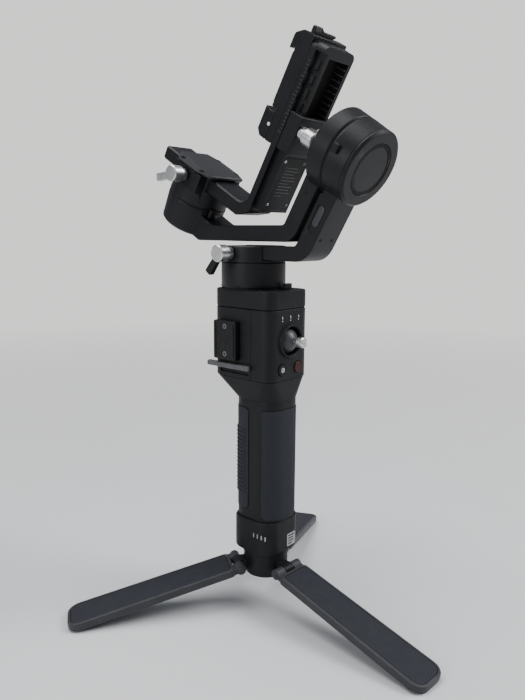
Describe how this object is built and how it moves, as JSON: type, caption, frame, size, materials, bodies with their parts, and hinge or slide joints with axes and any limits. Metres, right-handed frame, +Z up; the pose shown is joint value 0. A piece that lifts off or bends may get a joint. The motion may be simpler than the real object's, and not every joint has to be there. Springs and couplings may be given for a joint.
{
  "type": "gimbal stabilizer",
  "caption": "Handheld three-axis camera gimbal with a battery grip, folding mini tripod, thumb stick, clamp levers and sliding camera plate, folded to its locked carrying pose.",
  "frame": {"origin": "centre of the tripod hub's flat underside, on the grip's axis", "axes": "+Z up the grip, +Y to the front (away from the thumb stick), +X to the right, opposite the accessory rail"},
  "size_m": [0.2687, 0.2531, 0.4117],
  "materials": {
    "charcoal": "fine textured charcoal moulding",
    "anodised": "satin black anodised aluminium alloy",
    "rubber": "soft textured dark blue-grey rubber",
    "leg_grey": "satin dark grey moulding",
    "silver": "satin silver",
    "steel": "machined",
    "copper": "lacquered windings on a laminated core",
    "board": "green solder mask",
    "cell": "blue sleeve",
    "red": "satin dull red"
  },
  "bodies": {
    "handle": {"tripod_hub": "charcoal", "tripod_screw": "steel", "grip_base": "charcoal", "grip_shell": "charcoal", "rear_grip_pad": "rubber", "front_grip_pad": "rubber", "battery_cell_1": "cell", "battery_cell_2": "cell", "housing_rear": "charcoal", "housing_front": "charcoal", "housing_top_cover": "charcoal", "accessory_rail": "anodised", "rail_screw_1": "steel", "rail_screw_2": "steel", "joystick_bezel": "charcoal", "main_board": "board", "pan_stator": "copper", "pan_bearing": "steel"},
    "leg_a": {"leg_1": "leg_grey", "leg_1_pad": "rubber"},
    "leg_b": {"leg_2": "leg_grey", "leg_2_pad": "rubber"},
    "leg_c": {"leg_3": "leg_grey", "leg_3_pad": "rubber"},
    "joystick_cradle": {"joystick_yoke": "steel"},
    "joystick": {"joystick_cap": "silver", "joystick_boot": "rubber"},
    "mode_key": {"mode_button": "charcoal"},
    "record_key": {"record_button": "red"},
    "power_key": {"power_button": "charcoal"},
    "trigger_paddle": {"trigger": "charcoal"},
    "latch": {"grip_latch": "leg_grey"},
    "pan_lock_slider": {"pan_lock": "charcoal"},
    "pan_rotor": {"pan_drum": "anodised", "pan_shaft": "steel", "pan_clamp": "anodised"},
    "pan_lever": {"pan_clamp_lever": "silver"},
    "pan_beam": {"pan_arm": "anodised", "roll_cap": "anodised", "roll_stator": "copper", "roll_bearing": "steel"},
    "roll_lock_slider": {"roll_lock": "charcoal"},
    "roll_beam": {"roll_arm": "anodised", "tilt_stator": "copper", "tilt_bearing": "steel"},
    "tilt_lock_slider": {"tilt_lock": "charcoal"},
    "tilt_head": {"tilt_clamp": "anodised", "tilt_top_plate": "anodised", "top_plate_screw_1": "steel", "top_plate_screw_2": "steel", "top_plate_screw_3": "steel", "top_plate_screw_4": "steel"},
    "tilt_lever": {"tilt_clamp_lever": "silver"},
    "camera_beam": {"camera_arm": "anodised", "camera_arm_cover": "charcoal"},
    "camera_carriage": {"carriage": "anodised", "camera_plate": "anodised"},
    "carriage_clamp": {"carriage_lever": "silver"},
    "plate_clamp": {"plate_jaw": "anodised"},
    "plate_catch": {"plate_lever": "leg_grey"}
  },
  "joints": [
    {"name": "leg_a_fold", "type": "hinge", "parent": "handle", "child": "leg_a", "pos_m": [-0.01876, 0.01242, 0.0085], "axis": [-0.5519, -0.8339, 0], "range_deg": [0, 76]},
    {"name": "leg_b_fold", "type": "hinge", "parent": "handle", "child": "leg_b", "pos_m": [-0.00137, -0.02246, 0.0085], "axis": [0.9981, -0.061, 0], "range_deg": [0, 76]},
    {"name": "leg_c_fold", "type": "hinge", "parent": "handle", "child": "leg_c", "pos_m": [0.02014, 0.01004, 0.0085], "axis": [-0.4462, 0.8949, 0], "range_deg": [0, 76]},
    {"name": "joystick_pitch_hinge", "type": "hinge", "parent": "handle", "child": "joystick_cradle", "pos_m": [0, -0.016, 0.1842], "axis": [1, 0, 0], "range_deg": [-20, 20], "stiffness_Nm_per_rad": 0.03},
    {"name": "joystick_yaw_hinge", "type": "hinge", "parent": "joystick_cradle", "child": "joystick", "pos_m": [0, -0.016, 0.1842], "axis": [0, 0, 1], "range_deg": [-20, 20], "stiffness_Nm_per_rad": 0.03},
    {"name": "mode_button_press", "type": "slide", "parent": "handle", "child": "mode_key", "axis": [0, 1, 0], "range_m": [0, 0.0008], "stiffness_N_per_m": 400},
    {"name": "record_button_press", "type": "slide", "parent": "handle", "child": "record_key", "axis": [0, 1, 0], "range_m": [0, 0.0008], "stiffness_N_per_m": 400},
    {"name": "power_button_press", "type": "slide", "parent": "handle", "child": "power_key", "axis": [-1, 0, 0], "range_m": [0, 0.0006], "stiffness_N_per_m": 400},
    {"name": "trigger_pull", "type": "hinge", "parent": "handle", "child": "trigger_paddle", "pos_m": [0, 0.0345, 0.192], "axis": [-1, 0, 0], "range_deg": [0, 7], "stiffness_Nm_per_rad": 0.08},
    {"name": "grip_latch_swing", "type": "hinge", "parent": "handle", "child": "latch", "pos_m": [-0.0242, -0.002, 0.1647], "axis": [0, 0, 1], "range_deg": [0, 35]},
    {"name": "pan_lock_slide", "type": "slide", "parent": "handle", "child": "pan_lock_slider", "axis": [1, 0, 0], "range_m": [-0.004, 0]},
    {"name": "pan", "type": "hinge", "parent": "handle", "child": "pan_rotor", "pos_m": [0, 0.0143, 0.2211], "axis": [0, 0, 1], "continuous": true},
    {"name": "pan_lever_turn", "type": "hinge", "parent": "pan_rotor", "child": "pan_lever", "pos_m": [-0.0243, 0.0153, 0.246], "axis": [1, 0, 0], "range_deg": [0, 90]},
    {"name": "pan_arm_balance", "type": "slide", "parent": "pan_rotor", "child": "pan_beam", "axis": [0, 1, 0], "range_m": [-0.012, 0.014]},
    {"name": "roll", "type": "hinge", "parent": "pan_beam", "child": "roll_beam", "pos_m": [0, -0.0688, 0.308], "axis": [0, 0.866, 0.5], "range_deg": [-150, 185]},
    {"name": "roll_lock_slide", "type": "slide", "parent": "pan_beam", "child": "roll_lock_slider", "axis": [0, -0.866, -0.5], "range_m": [0, 0.0025]},
    {"name": "tilt", "type": "hinge", "parent": "roll_beam", "child": "tilt_head", "pos_m": [0, 0.07266, 0.28679], "axis": [0, -0.5, 0.866], "range_deg": [-52, 274]},
    {"name": "tilt_lock_slide", "type": "slide", "parent": "roll_beam", "child": "tilt_lock_slider", "axis": [1, 0, 0], "range_m": [-0.0035, 0.0035]},
    {"name": "tilt_lever_turn", "type": "hinge", "parent": "tilt_head", "child": "tilt_lever", "pos_m": [-0.0227, 0.06423, 0.30259], "axis": [1, 0, 0], "range_deg": [0, 90]},
    {"name": "camera_arm_balance", "type": "slide", "parent": "tilt_head", "child": "camera_beam", "axis": [0, 0.866, 0.5], "range_m": [-0.005, 0.018]},
    {"name": "carriage_balance", "type": "slide", "parent": "camera_beam", "child": "camera_carriage", "axis": [0, -0.5, 0.866], "range_m": [-0.03, 0.034]},
    {"name": "carriage_lever_turn", "type": "hinge", "parent": "camera_carriage", "child": "carriage_clamp", "pos_m": [-0.0075, -0.03478, 0.32487], "axis": [0, -0.866, -0.5], "range_deg": [0, 90]},
    {"name": "jaw_open", "type": "slide", "parent": "camera_carriage", "child": "plate_clamp", "axis": [0, 0.5, -0.866], "range_m": [0, 0.003]},
    {"name": "plate_lever_turn", "type": "hinge", "parent": "camera_carriage", "child": "plate_catch", "pos_m": [0.0075, -0.04543, 0.38373], "axis": [0, 0.866, 0.5], "range_deg": [0, 25]}
  ]
}
